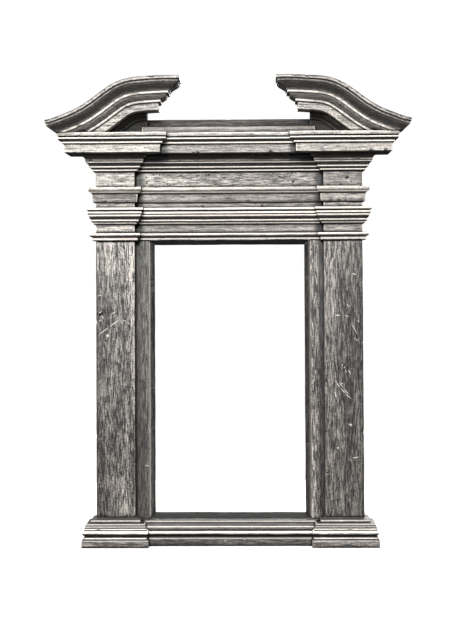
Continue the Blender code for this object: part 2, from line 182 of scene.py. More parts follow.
# %% Shader sums
class Value:
    """A socket of a shader tree, with the arithmetic of numbers."""

    def __init__(self, tree, socket):
        self.tree = tree
        self.socket = socket

    def node(self, kind, out=0, settings=None, **values):
        """Adds a node: its settings are set first, then its sockets, by name or by number."""
        made = self.tree.nodes.new(kind)
        for name, setting in (settings or {}).items():
            setattr(made, name, setting)
        for name, value in values.items():
            key = int(name[1:]) if name[0] == "i" and name[1:].isdigit() else name
            socket = made.inputs[key]
            if isinstance(value, Value):
                self.tree.links.new(value.socket, socket)
            else:
                socket.default_value = value
        return Value(self.tree, made.outputs[out])

    def other(self, name):
        """Another output of the node that this value comes from."""
        return Value(self.tree, self.socket.node.outputs[name])

    def sum(self, operation, *terms):
        values = {f"i{n}": t if isinstance(t, Value) else float(t) for n, t in enumerate(terms)}
        return self.node("ShaderNodeMath", 0, {"operation": operation}, **values)

    def __add__(self, other):
        return self.sum("ADD", self, other)

    def __mul__(self, other):
        return self.sum("MULTIPLY", self, other)

    def __sub__(self, other):
        return self.sum("SUBTRACT", self, other)

    def least(self, other):
        return self.sum("MINIMUM", self, other)

    def most(self, other):
        return self.sum("MAXIMUM", self, other)

    def held(self):
        return self.most(0.0).least(1.0)

    def absolute(self):
        return self.sum("ABSOLUTE", self)

    def band(self, low, high, to_low=0.0, to_high=1.0):
        """Eases from one value to another while this one goes from low to high."""
        ends = {"i1": low, "i2": high, "i3": to_low, "i4": to_high}
        eased = {"interpolation_type": "SMOOTHSTEP"}
        return self.node("ShaderNodeMapRange", 0, eased, i0=self, **ends)

    def blend(self, a, b):
        """The colour a where this is 0 and b where it is 1."""
        return self.node("ShaderNodeMix", 2, {"data_type": "RGBA"}, i0=self, i6=a, i7=b)


# %% [markdown]
# Colour first. Old walnut under wax is a very muted grey-brown, and what changes over the
# frame is how light it is, so each colour is one tint at a given level.

# %% The tint
TINT = (1.0, 0.915, 0.83)
TINT_LEVEL = 0.2126 * TINT[0] + 0.7152 * TINT[1] + 0.0722 * TINT[2]


def tone(level):
    """A muted grey-brown of the given brightness."""
    return (*(level / TINT_LEVEL * part for part in TINT), 1.0)


# %% [markdown]
# The grain is noise that is drawn out along the board: broad bands, fibres, fine fibres and
# short dark pores. Clouds of wax and dust lie over it without a direction.

# %% The grain
LONG_WAY = {"x": (1.0, 13.0, 13.0), "z": (13.0, 13.0, 1.0)}


def cloudy(place, vector, scale, detail, roughness=0.55, distortion=0.0):
    sockets = {"Scale": scale, "Detail": detail, "Roughness": roughness, "Distortion": distortion}
    return place.node("ShaderNodeTexNoise", 0, Vector=vector, **sockets)


def stretched(place, along, times, offset):
    """The place, drawn out along the grain."""
    scale = tuple(times * way for way in LONG_WAY[along])
    spot = (offset, offset * 0.7, offset * 1.7)
    return place.node("ShaderNodeMapping", 0, Vector=place, Scale=scale, Location=spot)


def grain(place, along, shift):
    """The fibres, the pores and how light the wood is, each from 0 to 1."""
    broad = cloudy(place, stretched(place, along, 7.0, shift + 1.3), 1.0, 2.0)
    fibres = cloudy(place, stretched(place, along, 25.0, shift), 1.0, 3.0, 0.6, 0.4)
    fine = cloudy(place, stretched(place, along, 46.0, shift + 2.2), 1.0, 2.0, 0.6)
    pores = cloudy(place, stretched(place, along, 42.0, shift + 4.0), 1.0, 2.0, 0.6)
    pores = pores.band(0.54, 0.64)
    light = fibres.band(0.41, 0.59) * 0.32 + fine.band(0.4, 0.6) * 0.5 + broad.band(0.4, 0.6) * 0.18
    return fibres, pores, light


# %% [markdown]
# Small marks from use are ellipses: a scratch is a long thin one, a plug of a nail hole a round
# one. A mapping node moves and turns the place so that the ellipse becomes a circle of radius 1,
# and then one distance is enough.

# %% Marks from use
def reach(place, mark):
    """How far a spot is from a mark's middle, with 1 at its rim."""
    (x0, z0), (x1, z1), width = mark
    long, turn = math.hypot(x1 - x0, z1 - z0) / 2.0, math.atan2(z1 - z0, x1 - x0)
    local = place.node(
        "ShaderNodeMapping",
        0,
        {"vector_type": "TEXTURE"},
        Vector=place,
        Location=((x0 + x1) / 2.0 * MM, FACE_Y, (z0 + z1) / 2.0 * MM),
        Rotation=(0.0, -turn, 0.0),
        Scale=((long + width) * MM, 1.0, width * MM),
    )
    return place.node("ShaderNodeVectorMath", "Value", {"operation": "LENGTH"}, i0=local)


def marked(place, marks):
    """1 on the marks and 0 off them."""
    mask = None
    for mark in marks:
        one = reach(place, mark).band(0.55, 1.0, 1.0, 0.0)
        mask = one if mask is None else mask.most(one)
    return mask


def specks(place, scale, share, radius):
    """Round specks in a share of the cells of a Voronoi pattern."""
    cells = place.node("ShaderNodeTexVoronoi", "Distance", Vector=place, Scale=scale)
    chance = place.node("ShaderNodeSeparateColor", 0, Color=cells.other("Color"))
    return cells.band(radius * 0.6, radius, 1.0, 0.0) * chance.band(1.0 - share, 1.001 - share)


# %% [markdown]
# A moulding is a stack of fillets and hollows. Each run gets a few dark and light lines at the
# heights of its own profile: painted shade in the quirks and under each step, where dirt also lies,
# and painted highlights on the fillets. They keep to the front and the ends.

# %% Lines along a moulding
def over_foot(node, lines):
    """Lines given over the foot of a piece, in millimetres: height, half width and strength."""
    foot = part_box(node)[0].z
    return [(foot + height * MM, half * MM, strength) for height, half, strength in lines]


def lined(height, away, lines):
    """1 on the lines and 0 off them, with `away` for the side that faces the wall."""
    mask = None
    for middle, half, strength in lines:
        off = (height - middle).absolute()
        one = off.band(half * 0.5, half * 1.3, strength, 0.0)
        mask = one if mask is None else mask.most(one)
    return mask * away.band(0.2, 0.6, 1.0, 0.0)


# %% [markdown]
# The bare wood: light and dark along the grain, larger patches, and a fine mottle with pores and
# specks over them. In the end the dark is pressed down a little, as wax does.

# %% Bare wood
PATCHY = 0.35           # the share of the large patches in how light the wood is
PLAIN = 0.75            # how light wood without any figure is


def bare_wood(place, along, shift, calm, pitted):
    """How light the wood is, then its fibres, its mottle and its relief."""
    fibres, pores, lightness = grain(place, along, shift)
    mottle = cloudy(place, place, 380.0, 3.0, 0.65)
    patches = cloudy(place, stretched(place, along, 1.6, shift + 7.0), 1.5, 3.0)
    shade = lightness.band(0.16, 0.84) * (1.0 - PATCHY) + patches.band(0.36, 0.64) * PATCHY
    shade = shade * (1.0 - calm) + PLAIN * calm
    shade = shade + (mottle - 0.5) * 1.4
    shade = (shade - pores * 0.6 - specks(place, 300.0, pitted, 0.34) * 0.9).held()
    relief = fibres * 0.5 + mottle * 0.3 - pores * 0.6
    return shade * (shade * 0.8 + 0.2), fibres, mottle, relief


# %% [markdown]
# Painted shade: the colour goes toward black on what faces down or straight up and on the sideways
# returns of the mouldings. The outer side faces at the two ends of the frame are kept light.

# %% Where the wood keeps its tone, and where painted shade darkens it
def cleanness_and_light(place, spot, turned, under, over, top, lip, fades):
    """1 where the wood keeps its tone and 0 where it is black.

    `under`, `over` and `top` are how much tone stays where it faces down, up and straight up; the
    black under things and on top is painted shade. `lip` is the slope over which `over` sets in.
    """
    upwards = turned.other("Z")
    # painted shade on what faces down; what faces up is darker as far as `over` says
    clean_and_lit = upwards.band(-0.36, -0.02, under, 1.0) * upwards.band(*lip, 1.0, over)
    flat = place.node("ShaderNodeNewGeometry", "True Normal")
    level = flat.node("ShaderNodeSeparateXYZ", "Z", Vector=flat)
    # painted shade on what faces straight up, as far as `top` says
    clean_and_lit = clean_and_lit * level.band(0.3, 0.6, 1.0, top)
    # painted shade on the sideways returns
    clean_and_lit = clean_and_lit * turned.absolute().band(0.5, 0.95, 1.0, 0.45)
    for axis, start, end, first, last in fades:
        clean_and_lit = clean_and_lit * spot.other(axis).band(start, end, first, last)
    outwards = level.other("X") * spot.other("X")
    return clean_and_lit.most(outwards.band(0.23, 0.248, 0.0, 0.6))


# %% [markdown]
# Old walnut: light wood where an edge has been rubbed, and black in every hollow, which is dirt and
# painted shade together. The rubbed edges and the dark hollows come from how much of the surface
# around a spot is open, which is what an ambient occlusion node measures, from outside for hollows
# and from inside for edges.

# %% The walnut finish
DIRT_AND_SHADE = 0.004            # how light dirt and painted shade are
BACK_DARK = 0.02        # the dark and the light wood of the plain back
BACK_LIGHT = 0.16
HOLLOW_REACH = 0.006    # metres around a spot that count for a hollow, and for an edge
EDGE_REACH = 0.003
ROUNDING = 0.002        # radius of the edges to the light
SAMPLES = 6


def walnut(
    name,
    along,
    dark,
    light,
    rubbed_and_lit=0.85,
    edge=0.9,
    rough=0.5,
    shift=0.0,
    under=0.12,
    over=1.0,
    top=1.0,
    lip=(0.03, 0.22),
    slope_highlight=0.5,
    calm=0.0,
    pitted=0.05,
    fades=(),
    scratches=(),
    stains=(),
    shade_lines=(),
    highlight_lines=(),
    across="Z",
):
    """Walnut with its grain along an axis, from a dark to a light level.

    The level of rubbed wood also serves for painted highlights. `edge` says how much of it shows on
    rubbed edges, and the slope highlight how much shows as a painted highlight on slopes that face
    up. `calm` takes figure out of the wood, `shift` moves the figure and `pitted` is the share of
    specks. `fades` makes it lighter or darker along an axis. The lists of dark and light lines are
    painted shade lines and painted highlight lines, by height or, with `across` "Y", by depth. The
    rest is as in the function that says where the wood keeps its tone.
    """
    finish = bpy.data.materials.new(name)
    finish.use_nodes = True
    tree = finish.node_tree
    shader = tree.nodes["Principled BSDF"]
    place = Value(tree, None).node("ShaderNodeTexCoord", "Object")
    spot = place.node("ShaderNodeSeparateXYZ", "X", Vector=place)
    facing = place.node("ShaderNodeBevel", 0, {"samples": SAMPLES}, Radius=ROUNDING)
    turned = facing.node("ShaderNodeSeparateXYZ", "X", Vector=facing)
    upwards, away = turned.other("Z"), turned.other("Y")
    shade, fibres, mottle, relief = bare_wood(place, along, shift, calm, pitted)
    clean_and_lit = cleanness_and_light(place, spot, turned, under, over, top, lip, fades)
    outward = {"samples": SAMPLES}
    outside = place.node("ShaderNodeAmbientOcclusion", "AO", outward, Distance=HOLLOW_REACH)
    inward = {"samples": SAMPLES, "inside": True, "only_local": True}
    inside = place.node("ShaderNodeAmbientOcclusion", "AO", inward, Distance=EDGE_REACH)
    # rubbed edges, and a painted highlight on slopes that face up
    worn_and_lit = inside.band(0.55, 0.95, 1.0, 0.0).most(upwards.band(0.04, 0.3) * slope_highlight)
    worn_and_lit = (worn_and_lit * mottle.band(0.3, 0.55, 0.5, 1.0) * edge).held()
    dirt_and_shade = outside.band(0.6, 0.9, 1.0, 0.0)
    black, rubbed_and_lit_tone = tone(DIRT_AND_SHADE), tone(rubbed_and_lit)
    wood = shade.blend(tone(dark), tone(light))
    wood = clean_and_lit.blend(black, worn_and_lit.blend(wood, rubbed_and_lit_tone))
    if scratches:
        bare = marked(place, scratches)
        wood = bare.blend(wood, rubbed_and_lit_tone)
        relief = relief - bare
    if stains:
        stained = marked(place, stains)
        wood = stained.blend(wood, black)
        relief = relief - stained
    # dirt and painted shade in the hollows
    wood = dirt_and_shade.blend(wood, black)
    # painted highlights on the fillets; on the pediment they stop short of the lower arris, which
    # stays dark
    if highlight_lines:
        painted_highlights = lined(spot.other(across), away, highlight_lines) * mottle.band(0.25, 0.55, 0.55, 1.0)
        if across == "Y":
            painted_highlights = painted_highlights * away.band(-0.85, -0.4, 1.0, 0.0) * upwards.band(-0.3, 0.0, 0.1, 1.0)
            painted_highlights = painted_highlights * upwards.band(0.15, 0.4, 1.0, 0.3)
        wood = painted_highlights.blend(wood, rubbed_and_lit_tone)
    # painted shade lines in the quirks and under each step
    if shade_lines:
        wood = lined(spot.other(across), away, shade_lines).blend(wood, black)
    plain = dirt_and_shade.blend(shade.blend(tone(BACK_DARK), tone(BACK_LIGHT)), black)
    wood = away.band(0.5, 0.9).blend(wood, plain)
    tree.links.new(wood.socket, shader.inputs["Base Color"])
    sheen = (fibres.band(0.3, 0.7, rough + 0.08, rough - 0.08) + dirt_and_shade * 0.25).held()
    tree.links.new(sheen.socket, shader.inputs["Roughness"])
    dents = {"Height": relief, "Strength": 0.5, "Distance": 0.0008, "Normal": facing}
    bump = place.node("ShaderNodeBump", 0, **dents)
    tree.links.new(bump.socket, shader.inputs["Normal"])
    print("finish", name, len(tree.nodes), "nodes")
    return finish


# %% [markdown]
# Scratches, nail plugs and knocks on the two pilasters, in millimetres across and up: both ends
# of each mark and half its width. They are what makes one board differ from the next.

# %% Marks of the pilasters
LEFT_SCRATCHES = (
    ((-251.0, 397.7), (-229.0, 413.9), 0.9),
    ((-229.0, 413.9), (-209.0, 428.6), 1.1),
    ((-225.9, 438.4), (-213.6, 444.1), 0.8),
    ((-203.1, 427.0), (-195.5, 424.2), 0.8),
    ((-195.5, 424.2), (-189.8, 418.5), 0.8),
    ((-231.7, 397.7), (-231.5, 397.7), 3.4),
    ((-251.0, 473.7), (-242.3, 473.9), 0.8),
    ((-248.0, 441.0), (-244.0, 443.0), 1.2),
    ((-243.0, 436.0), (-240.0, 430.0), 1.0),
    ((-247.0, 425.0), (-244.0, 428.0), 1.2),
)
LEFT_STAINS = (
    ((-200.3, 562.5), (-200.3, 568.5), 2.2),
    ((-252.6, 474.1), (-251.6, 474.1), 1.6),
    ((-252.6, 438.0), (-250.0, 436.0), 1.8),
    ((-247.0, 433.0), (-246.0, 438.0), 1.1),
    ((-181.0, 500.5), (-183.0, 500.5), 1.8),
    ((-235.0, 388.0), (-236.0, 386.0), 1.3),
)
RIGHT_SCRATCHES = (
    ((196.5, 451.7), (197.8, 436.5), 1.0),
    ((201.6, 434.6), (209.2, 434.6), 1.5),
    ((222.5, 455.5), (228.2, 450.0), 0.9),
    ((218.7, 434.6), (226.5, 431.8), 0.9),
    ((244.1, 423.2), (244.3, 423.2), 1.6),
    ((230.0, 421.3), (243.4, 396.6), 0.7),
    ((237.3, 389.0), (238.2, 391.8), 0.9),
    ((241.8, 389.2), (240.8, 386.2), 0.9),
    ((213.0, 338.5), (214.5, 341.0), 0.9),
    ((218.0, 337.2), (217.0, 334.5), 0.9),
    ((219.6, 332.0), (221.0, 326.0), 1.1),
    ((225.0, 331.0), (229.1, 323.4), 1.1),
    ((200.5, 309.2), (209.2, 297.8), 0.9),
    ((209.2, 297.8), (219.6, 285.5), 0.9),
    ((219.6, 285.5), (230.1, 275.8), 0.9),
    ((207.1, 308.3), (214.9, 296.9), 0.9),
    ((214.9, 296.9), (225.7, 283.6), 0.9),
    ((212.4, 305.4), (212.8, 305.0), 1.6),
    ((198.4, 290.2), (202.4, 278.8), 1.4),
    ((226.5, 228.5), (230.0, 226.5), 2.0),
    ((203.0, 183.8), (204.0, 183.8), 1.6),
    ((232.0, 164.8), (243.0, 166.0), 1.2),
    ((232.0, 513.5), (241.5, 511.5), 1.1),
)
RIGHT_STAINS = (
    ((215.4, 337.8), (215.6, 337.8), 1.3),
    ((224.0, 446.0), (222.0, 440.0), 1.4),
    ((229.5, 470.7), (231.0, 470.7), 1.6),
    ((182.6, 136.3), (182.6, 136.5), 1.6),
    ((220.0, 330.0), (222.0, 331.5), 1.0),
    ((223.0, 303.0), (228.0, 302.0), 1.0),
)
print("marks:", len(LEFT_SCRATCHES) + len(LEFT_STAINS) + len(RIGHT_SCRATCHES) + len(RIGHT_STAINS))

# %% [markdown]
# The other parts have fewer marks: dark spots on the cornice, the architrave and the panels
# beside the pilasters, and a few light nicks on the panels, the rails and the middle plinth.

# %% Marks of the other parts
CORNICE_MARKS = (
    ((-67.0, 742.4), (-64.0, 742.4), 1.5),
    ((-56.5, 742.2), (-54.5, 742.4), 1.4),
    ((-158.0, 750.0), (-154.0, 750.2), 1.1),
)
ARCHITRAVE_MARKS = (((-4.0, 656.0), (0.0, 659.5), 1.0), ((108.0, 676.5), (133.0, 677.2), 0.7))
PANEL_MARKS = (
    ((157.0, 559.0), (158.0, 559.0), 1.5),
    ((165.0, 300.5), (168.5, 297.5), 1.0),
    ((158.0, 368.0), (158.3, 365.0), 0.9),
    ((158.6, 273.0), (158.8, 270.5), 0.9),
    ((-160.0, 296.5), (-159.0, 296.5), 1.2),
)
PANEL_SCRATCHES = (
    ((157.6, 422.0), (158.6, 410.0), 0.8),
    ((-163.0, 149.5), (-153.0, 147.0), 0.8),
    ((162.0, 330.0), (164.0, 322.0), 0.6),
)
RAIL_MARKS = (
    ((-13.0, 57.8), (-12.4, 57.8), 1.0),
    ((-10.0, 58.2), (-9.4, 58.2), 0.8),
    ((-147.0, 571.0), (-141.0, 568.6), 0.8),
)
PLINTH_MARKS = (((-10.5, 11.5), (-9.2, 8.5), 0.7), ((24.5, 12.8), (28.0, 11.8), 0.5))
print("marks of the panels:", len(PANEL_MARKS) + len(PANEL_SCRATCHES))

# %% [markdown]
# A finish can fade along a board. A fade is an axis, two places along it in metres, and how much of
# the wood's tone stays at each of them. Most are painted shade in a corner or on a rim.

# %% Fades
# lighter to the left: partly the wood's own tone, partly painted light from the left
LEFT_LIGHT = ("X", -0.2, 0.22, 1.0, 0.62)
# the pilasters lighter towards the top: partly rubbed wood, partly painted light from above
TOP_LIGHT = ("Z", 0.42, 0.6, 0.62, 1.0)
# painted shade along the outer edge of each pilaster
LEFT_RIM_SHADE = ("X", -0.2530, -0.2505, 0.15, 1.0)
RIGHT_RIM_SHADE = ("X", 0.2495, 0.2528, 1.0, 0.12)
LEFT_SIDE = ("X", -0.25, -0.19, 0.7, 1.15)
RIGHT_SIDE = ("X", 0.205, 0.222, 1.0, 0.7)
# painted shade on the panels beside the pilasters, which stand forward of them
PANEL_LEFT_SHADE = ("X", -0.182, -0.155, 0.12, 1.1)
PANEL_RIGHT_SHADE = ("X", 0.166, 0.173, 1.1, 0.2)
SIGHT_SIDES = ("X", -0.1, 0.1, 1.0, 0.4)
SIGHT_TOP = ("Z", 0.3, 0.4, 0.27, 1.0)
# painted shade on the back board at the foot of the attic strip
STRIP_FOOT_SHADE = ("Z", 0.7965, 0.799, 0.05, 1.0)
# painted shade on the middle pieces beside the blocks that stand forward of them
BLOCK_SHADE = [("X", -0.171, -0.157, 0.03, 1.0), ("X", 0.157, 0.171, 1.0, 0.03)]
CORNICE_BLOCK_SHADE = [("X", -0.121, -0.108, 0.05, 1.0), ("X", 0.108, 0.121, 1.0, 0.05)]
TORUS = [("Z", 0.0135, 0.016, 0.42, 1.0), ("Z", 0.0355, 0.037, 1.0, 0.3)]
TORUS_MIDDLE = [("Z", 0.0135, 0.0155, 0.3, 1.0), ("Z", 0.0325, 0.034, 1.0, 0.3)]
# painted shade on the upper part of the raking cyma, which faces down; further back the tone stays
# full
CYMA_SHADE = [
    ("Y", FACE_Y - 0.0845, FACE_Y - 0.079, 1.0, 0.3),
    ("Y", FACE_Y - 0.0712, FACE_Y - 0.07, 1.0, 3.3),
]
# prints a level and a place of the painted shade beside the blocks
print("the middle of the frame is clean between", BLOCK_SHADE[0][2], "and", BLOCK_SHADE[1][1])

# %% [markdown]
# The lines of each moulding are given over its foot. Those of the pediment follow its curve, so
# they go by how far they stand out from the wall, in metres.

# %% Lines of each moulding
def moulding(node, dark, painted_highlights):
    """The painted shade lines and painted highlight lines of a moulding, as walnut() takes them."""
    return {"shade_lines": over_foot(node, dark), "highlight_lines": over_foot(node, painted_highlights)}


ASTRAGAL = moulding(
    "astragal_left",
    [(0.3, 0.9, 1), (7.4, 1.1, 1), (14.9, 0.8, 1)],
    [(3.4, 1.7, 0.7), (13.2, 0.9, 0.8)],
)
CAPITAL = moulding(
    "capital_left",
    [(16.4, 1.2, 1), (21.6, 1.0, 1), (28.6, 2.6, 0.95), (35.7, 1.0, 1), (41.8, 1.3, 1)],
    [(19.0, 1.2, 0.5), (24.4, 1.2, 0.6), (33.2, 1.2, 1), (38.4, 1.4, 0.9), (45.4, 1.6, 0.7)],
)
ARCHITRAVE = moulding(
    "architrave_left", [(9.6, 1.1, 1), (26.4, 1.4, 1)], [(29.4, 1.1, 0.9), (36.0, 1.5, 0.4)]
)
CORNICE = moulding(
    "cornice_left",
    [
        (0.3, 1.0, 1), (5.0, 1.1, 1), (13.2, 2.6, 0.9), (19.4, 1.0, 1), (49.4, 1.1, 1),
        (55.6, 2.4, 0.95), (62.0, 1.3, 1),
    ],
    [(3.2, 1.3, 0.8), (9.3, 1.2, 0.8), (17.9, 1.1, 0.6), (51.8, 1.4, 1), (59.4, 1.3, 0.6)],
)
BASE = moulding(
    "base_left",
    [
        (15.2, 1.0, 1), (20.6, 1.8, 1), (32.2, 0.9, 1), (36.2, 0.9, 1), (41.2, 0.8, 0.6),
        (44.9, 0.9, 0.9), (51.2, 1.2, 0.6),
    ],
    [
        (12.8, 0.9, 0.35), (17.6, 1.0, 0.9), (29.4, 1.9, 1), (34.3, 0.9, 0.9), (38.6, 1.0, 0.35),
        (43.0, 0.8, 0.5), (48.2, 1.0, 0.6),
    ],
)
MIDDLE_BASE = moulding(
    "base_centre",
    [
        (17.4, 1.8, 1), (30.6, 2.2, 0.9), (33.6, 1.0, 1), (38.6, 0.9, 0.7), (41.6, 0.9, 0.7),
        (47.6, 0.9, 0.6),
    ],
    [(14.8, 0.8, 0.35), (25.8, 1.6, 1), (35.4, 1.0, 1), (44.0, 1.0, 0.55)],
)
# the pediment's painted shade lines and painted highlights, by depth
RAKE = {
    "shade_lines": [
        (FACE_Y - 0.0673, 0.001, 1.0), (FACE_Y - 0.0545, 0.0012, 1.0),
        (FACE_Y - 0.083, 0.0005, 0.8),
    ],
    "highlight_lines": [
        (FACE_Y - 0.069, 0.0006, 0.6), (FACE_Y - 0.0652, 0.0005, 0.4),
        (FACE_Y - 0.0562, 0.0006, 0.6),
    ],
    "across": "Y",
}
# a painted shade line at the foot of the attic strip
ATTIC_SHADE_LINE = over_foot("attic_strip", [(1.4, 1.4, 0.9)])
print("lines on the cornice:", len(CORNICE["shade_lines"]) + len(CORNICE["highlight_lines"]))

# %% [markdown]
# Each board and each run of moulding gets its own finish, because they have aged apart: the cornice
# and capitals are rubbed light and the pilasters stay dark. The curved pediment is dark partly as
# painted shade, and the bed under the rake, the tympanum and the back board are near black as
# painted shade.

# %% Finishes of the entablature
ENTABLATURE = {
    "astragal": walnut(
        "walnut astragal", "x", 0.1, 0.6, rubbed_and_lit=0.9, shift=7.0, calm=0.3, **ASTRAGAL
    ),
    "astragal_centre": walnut(
        "walnut middle astragal", "x", 0.1, 0.5, shift=7.5, calm=0.3, fades=BLOCK_SHADE, **ASTRAGAL
    ),
    "capital": walnut(
        "walnut capitals", "x", 0.1, 0.75, shift=8.0, calm=0.4, fades=[LEFT_LIGHT], **CAPITAL
    ),
    "capital_centre": walnut(
        "walnut middle capital", "x", 0.1, 0.52, shift=8.5, calm=0.4, fades=BLOCK_SHADE, **CAPITAL
    ),
    "architrave": walnut(
        "walnut architrave", "x", 0.06, 0.55, shift=9.0, calm=0.3, **ARCHITRAVE
    ),
    "architrave_centre": walnut(
        "walnut middle architrave", "x", 0.08, 0.42, shift=9.5, calm=0.3,
        fades=BLOCK_SHADE, stains=ARCHITRAVE_MARKS, **ARCHITRAVE,
    ),
    "frieze": walnut(
        "walnut frieze", "x", 0.08, 0.55, shift=10.0, edge=0.3, calm=0.3, pitted=0.1,
        fades=[LEFT_LIGHT],
    ),
    "frieze_centre": walnut(
        "walnut middle frieze", "x", 0.03, 0.52, shift=10.5, edge=0.3, calm=0.1, pitted=0.15,
        fades=BLOCK_SHADE,
    ),
}

# %% [markdown]
# The other finishes, each with the slot that its part of the frame belongs to. A piece takes the
# finish whose key is the longest start of its name.

# %% Finishes for each part of the frame
FINISHES = {
    "stile": (
        "back_frame",
        walnut("walnut stiles", "z", 0.02, 0.22, rubbed_and_lit=0.5, edge=0.6, shift=1.0),
    ),
    "stile_left": (
        "back_frame",
        walnut(
            "walnut left stile", "z", 0.02, 0.24, rubbed_and_lit=0.5, edge=0.6, shift=1.0,
            fades=[PANEL_LEFT_SHADE], scratches=PANEL_SCRATCHES, stains=PANEL_MARKS,
        ),
    ),
    "stile_right": (
        "back_frame",
        walnut(
            "walnut right stile", "z", 0.02, 0.55, rubbed_and_lit=0.6, edge=0.6, shift=1.5,
            fades=[PANEL_RIGHT_SHADE], scratches=PANEL_SCRATCHES, stains=PANEL_MARKS,
        ),
    ),
    "rail": (
        "back_frame",
        walnut("walnut rails", "x", 0.02, 0.18, rubbed_and_lit=0.4, edge=0.6, shift=2.0),
    ),
    "sight_edge_side": (
        "sight_edge",
        walnut(
            "walnut sight edge sides", "z", 0.05, 0.42, rubbed_and_lit=0.5, shift=3.0,
            fades=[SIGHT_SIDES],
        ),
    ),
    "sight_edge": (
        "sight_edge",
        walnut(
            "walnut sight edge", "x", 0.03, 0.34, rubbed_and_lit=0.25, shift=4.0, over=0.12, slope_highlight=0.0,
            rough=0.85, fades=[SIGHT_TOP], scratches=RAIL_MARKS,
        ),
    ),
    "base": (
        "base",
        walnut(
            "walnut base", "x", 0.08, 0.95, shift=5.0, over=0.5, slope_highlight=0.6, under=0.02,
            fades=TORUS, **BASE,
        ),
    ),
    "base_centre": (
        "base",
        walnut(
            "walnut middle base", "x", 0.05, 0.7, shift=5.5, over=0.5, slope_highlight=0.5, under=0.02,
            fades=BLOCK_SHADE + TORUS_MIDDLE, scratches=PLINTH_MARKS, **MIDDLE_BASE,
        ),
    ),
    "pilaster_left": (
        "pilaster",
        walnut(
            "walnut left pilaster", "z", 0.008, 0.62, rubbed_and_lit=0.5, edge=0.5, slope_highlight=0.0, shift=6.0,
            fades=[TOP_LIGHT, LEFT_RIM_SHADE, LEFT_SIDE], scratches=LEFT_SCRATCHES, stains=LEFT_STAINS,
        ),
    ),
    "pilaster_right": (
        "pilaster",
        walnut(
            "walnut right pilaster", "z", 0.006, 0.4, rubbed_and_lit=0.5, edge=0.5, slope_highlight=0.0, shift=6.5,
            fades=[TOP_LIGHT, RIGHT_RIM_SHADE, RIGHT_SIDE],
            scratches=RIGHT_SCRATCHES, stains=RIGHT_STAINS,
        ),
    ),
    **{key: ("entablature", finish) for key, finish in ENTABLATURE.items()},
    "cornice": (
        "cornice",
        walnut(
            "walnut cornice", "x", 0.12, 0.6, shift=11.0, under=0.08, calm=0.5,
            stains=CORNICE_MARKS[2:], **CORNICE,
        ),
    ),
    "cornice_centre": (
        "cornice",
        walnut(
            "walnut middle cornice", "x", 0.08, 0.48, shift=11.5, under=0.08, calm=0.4,
            fades=CORNICE_BLOCK_SHADE, stains=CORNICE_MARKS, **CORNICE,
        ),
    ),
    "raking": (
        "pediment",
        walnut(
            "walnut raking cornice", "x", 0.05, 0.55, shift=12.0, under=0.3, over=0.02, top=0.3,
            slope_highlight=0.0, calm=0.5, lip=(-0.03, 0.1), fades=CYMA_SHADE, **RAKE,
        ),
    ),
    # painted shade: the bed under the rake is near black
    "raking_bed": (
        "pediment",
        walnut(
            "walnut raking bed", "x", 0.01, 0.05, edge=0.2, slope_highlight=0.1, rough=0.75, shift=12.5
        ),
    ),
    # painted shade: the tympanum is near black
    "tympanum": (
        "pediment",
        walnut("walnut tympanum", "x", 0.008, 0.022, edge=0.1, over=0.2, rough=0.85, shift=13.0),
    ),
    "attic": (
        "attic",
        walnut("walnut attic strip", "x", 0.02, 0.12, shift=14.0, slope_highlight=0.2, shade_lines=ATTIC_SHADE_LINE),
    ),
    # painted shade: the back board is near black
    "back_board": (
        "attic",
        walnut(
            "walnut back board", "x", 0.01, 0.09, edge=0.2, over=0.3, rough=0.8, shift=15.0,
            fades=[STRIP_FOOT_SHADE],
        ),
    ),
}


def finish_of(name):
    if name in ("sight_edge_left", "sight_edge_right"):
        return FINISHES["sight_edge_side"]
    return FINISHES[max((key for key in FINISHES if name.startswith(key)), key=len)]


# %% [markdown]
# The solids are crisp, as a planed moulding is when new. Each one is copied, its loose triangles
# are merged and its sharp edges are rounded by a bevel of half a millimetre or more, because
# handling takes the edge off every arris and the rounding is what catches the light.

# %% A copy with rounded edges
ROUND = {"pilaster": 0.9, "stile": 0.8, "rail": 0.8, "back_board": 0.9, "tympanum": 0.6}
ROUND_MOULDING = 0.45


def only(obj):
    bpy.ops.object.select_all(action="DESELECT")
    obj.select_set(True)
    bpy.context.view_layer.objects.active = obj


def apply_modifier(piece, kind, name, **settings):
    modifier = piece.modifiers.new(name, kind)
    for key, setting in settings.items():
        setattr(modifier, key, setting)
    only(piece)
    bpy.ops.object.modifier_apply(modifier=modifier.name)


def merged_copy(name):
    source = NODES[name]
    piece = source.copy()
    piece.data = source.data.copy()
    piece.name = f"worn_{name}"
    piece.data.name = piece.name
    piece.parent = None
    for key in list(piece.keys()):
        del piece[key]
    scene.collection.objects.link(piece)
    only(piece)
    bpy.ops.object.mode_set(mode="EDIT")
    bpy.ops.mesh.select_all(action="SELECT")
    bpy.ops.mesh.remove_doubles(threshold=0.00001)
    bpy.ops.mesh.dissolve_limited(angle_limit=math.radians(0.5))
    bpy.ops.object.mode_set(mode="OBJECT")
    return piece


def round_edges(piece, name):
    width = next((ROUND[key] for key in ROUND if name.startswith(key)), ROUND_MOULDING)
    apply_modifier(
        piece,
        "BEVEL",
        "round",
        width=width * MM,
        segments=2,
        limit_method="ANGLE",
        angle_limit=math.radians(38.0),
    )


# %% [markdown]
# Worms bore clean round holes of a millimetre or two, straight into the wood. Each is a short
# rod that is cut out of the front face.

# %% Worm holes
HOLE_DEEP = 7.0         # length of the rod in millimetres, half of it in the wood


